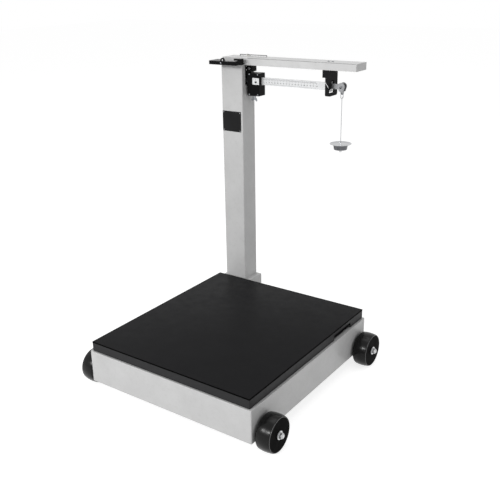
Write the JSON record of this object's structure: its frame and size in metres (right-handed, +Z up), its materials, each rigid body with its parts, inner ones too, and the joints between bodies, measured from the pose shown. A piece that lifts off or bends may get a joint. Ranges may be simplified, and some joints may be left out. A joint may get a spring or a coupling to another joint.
{
  "type": "platform floor scale",
  "caption": "Portable beam floor scale: steel platform on wheels, side column, and a weighing beam with sliding poise, loop and weight pan.",
  "frame": {"origin": "on the floor, under the middle of the footprint's bounding box", "axes": "+Z up, the longest extent; +X to the right along the weighing beam; +Y to the back, where the column stands"},
  "size_m": [0.792, 0.8424, 1.037],
  "materials": {
    "grey_paint": "silver-grey enamel, satin",
    "deck_paint": "charcoal enamel, satin",
    "black_paint": "black enamel, satin",
    "light_paint": "light grey enamel, satin",
    "lever_paint": "grey primer on cast iron",
    "raw_iron": "machined cast iron",
    "zinc": "zinc plated",
    "knife_steel": "ground hardened steel",
    "beam_steel": "ground and engraved",
    "rubber": "moulded black rubber",
    "brass": "turned brass",
    "bright_wire": "bright drawn wire",
    "black_plastic": "moulded black plastic",
    "white_plastic": "moulded white plastic"
  },
  "bodies": {
    "base": {"base_frame": "grey_paint", "corner_plates": "grey_paint", "lever_stands": "raw_iron", "stand_bearings": "knife_steel", "stand_bolts": "zinc", "axle_bolts": "zinc", "axle_nuts": "zinc", "axle_washers": "zinc", "column_foot": "grey_paint", "foot_bolts": "zinc", "column": "grey_paint", "column_socket": "raw_iron", "column_cap": "grey_paint", "shelf_tube": "light_paint", "shelf_end_cap": "grey_paint", "shelf_rail": "bright_wire", "rail_tab": "white_plastic", "weight_rack": "black_plastic", "rack_screw": "zinc", "beam_stand": "black_paint", "beam_bearings": "knife_steel", "stand_screws": "zinc", "trig_loop": "black_paint", "trig_screws": "zinc"},
    "wheel_fl": {"wheel_front_left": "rubber", "bush_front_left": "knife_steel"},
    "wheel_fr": {"wheel_front_right": "rubber", "bush_front_right": "knife_steel"},
    "wheel_rl": {"wheel_rear_left": "rubber", "bush_rear_left": "knife_steel"},
    "wheel_rr": {"wheel_rear_right": "rubber", "bush_rear_right": "knife_steel"},
    "platform": {"deck_plate": "deck_paint", "deck_ribs": "deck_paint", "deck_feet": "raw_iron"},
    "long_lever": {"main_lever": "lever_paint", "main_lever_pivots": "knife_steel"},
    "rear_lever": {"short_lever": "lever_paint", "short_lever_pivots": "knife_steel"},
    "link": {"centre_link": "zinc"},
    "rod": {"steelyard_rod": "bright_wire", "rod_stirrups": "zinc"},
    "beam": {"beam_bar": "beam_steel", "beam_butt": "raw_iron", "beam_nose": "raw_iron", "beam_sleeve": "beam_steel", "beam_pivots": "knife_steel"},
    "ball": {"balance_ball": "brass"},
    "poise": {"poise_front": "black_paint", "poise_body": "black_paint", "poise_back": "black_paint", "poise_screws": "zinc"},
    "thumb_screw": {"lock_screw": "zinc"},
    "shoe": {"lock_shoe": "brass"},
    "stirrup": {"pendant": "raw_iron"},
    "hanger": {"hanger_rod": "bright_wire", "pan_plate": "raw_iron", "pan_cup": "raw_iron", "pan_nut": "zinc"}
  },
  "joints": [
    {"name": "wheel_fl_roll", "type": "hinge", "parent": "base", "child": "wheel_fl", "pos_m": [-0.356, -0.36025, 0.0595], "axis": [1, 0, 0], "continuous": true},
    {"name": "wheel_fr_roll", "type": "hinge", "parent": "base", "child": "wheel_fr", "pos_m": [0.356, -0.36025, 0.0595], "axis": [1, 0, 0], "continuous": true},
    {"name": "wheel_rl_roll", "type": "hinge", "parent": "base", "child": "wheel_rl", "pos_m": [-0.356, 0.25075, 0.0595], "axis": [1, 0, 0], "continuous": true},
    {"name": "wheel_rr_roll", "type": "hinge", "parent": "base", "child": "wheel_rr", "pos_m": [0.356, 0.25075, 0.0595], "axis": [1, 0, 0], "continuous": true},
    {"name": "beam_tilt", "type": "hinge", "parent": "base", "child": "beam", "pos_m": [-0.2205, 0.372, 0.949], "axis": [0, 1, 0], "range_deg": [-1.55, 1.55]},
    {"name": "rod_lift", "type": "slide", "parent": "base", "child": "rod", "axis": [0, 0, 1], "range_m": [-0.00085, 0.00085]},
    {"name": "long_lever_tilt", "type": "hinge", "parent": "base", "child": "long_lever", "pos_m": [0, -0.35725, 0.0975], "axis": [1, 0, 0], "range_deg": [-0.067, 0.067]},
    {"name": "rear_lever_tilt", "type": "hinge", "parent": "base", "child": "rear_lever", "pos_m": [0, 0.23875, 0.0975], "axis": [1, 0, 0], "range_deg": [-0.067, 0.067]},
    {"name": "link_lift", "type": "slide", "parent": "base", "child": "link", "axis": [0, 0, 1], "range_m": [-0.00035, 0.00035]},
    {"name": "platform_lift", "type": "slide", "parent": "base", "child": "platform", "axis": [0, 0, 1], "range_m": [-0.000085, 0.000085]},
    {"name": "poise_slide", "type": "slide", "parent": "beam", "child": "poise", "axis": [1, 0, 0], "range_m": [0, 0.245]},
    {"name": "lock_turn", "type": "hinge", "parent": "poise", "child": "thumb_screw", "pos_m": [-0.1925, 0.372, 0.892], "axis": [0, 0, 1], "range_deg": [0, 540]},
    {"name": "shoe_lift", "type": "slide", "parent": "poise", "child": "shoe", "axis": [0, 0, 1], "range_m": [0, 0.00155]},
    {"name": "ball_shift", "type": "slide", "parent": "beam", "child": "ball", "axis": [1, 0, 0], "range_m": [-0.004, 0.004]},
    {"name": "stirrup_swing", "type": "hinge", "parent": "beam", "child": "stirrup", "pos_m": [0.1685, 0.372, 0.952], "axis": [0, 1, 0], "range_deg": [-12, 12]},
    {"name": "hanger_swing", "type": "hinge", "parent": "stirrup", "child": "hanger", "pos_m": [0.1685, 0.372, 0.9275], "axis": [0, 1, 0], "range_deg": [-30, 30]}
  ],
  "couplings": [
    {"joint": "rod_lift", "follows": "beam_tilt", "m_per_rad": 0.03},
    {"joint": "long_lever_tilt", "follows": "beam_tilt", "ratio": 0.041138},
    {"joint": "rear_lever_tilt", "follows": "beam_tilt", "ratio": -0.041138},
    {"joint": "link_lift", "follows": "beam_tilt", "m_per_rad": 0.012259},
    {"joint": "platform_lift", "follows": "beam_tilt", "m_per_rad": 0.003},
    {"joint": "shoe_lift", "follows": "lock_turn", "m_per_rad": 0.00015915}
  ]
}
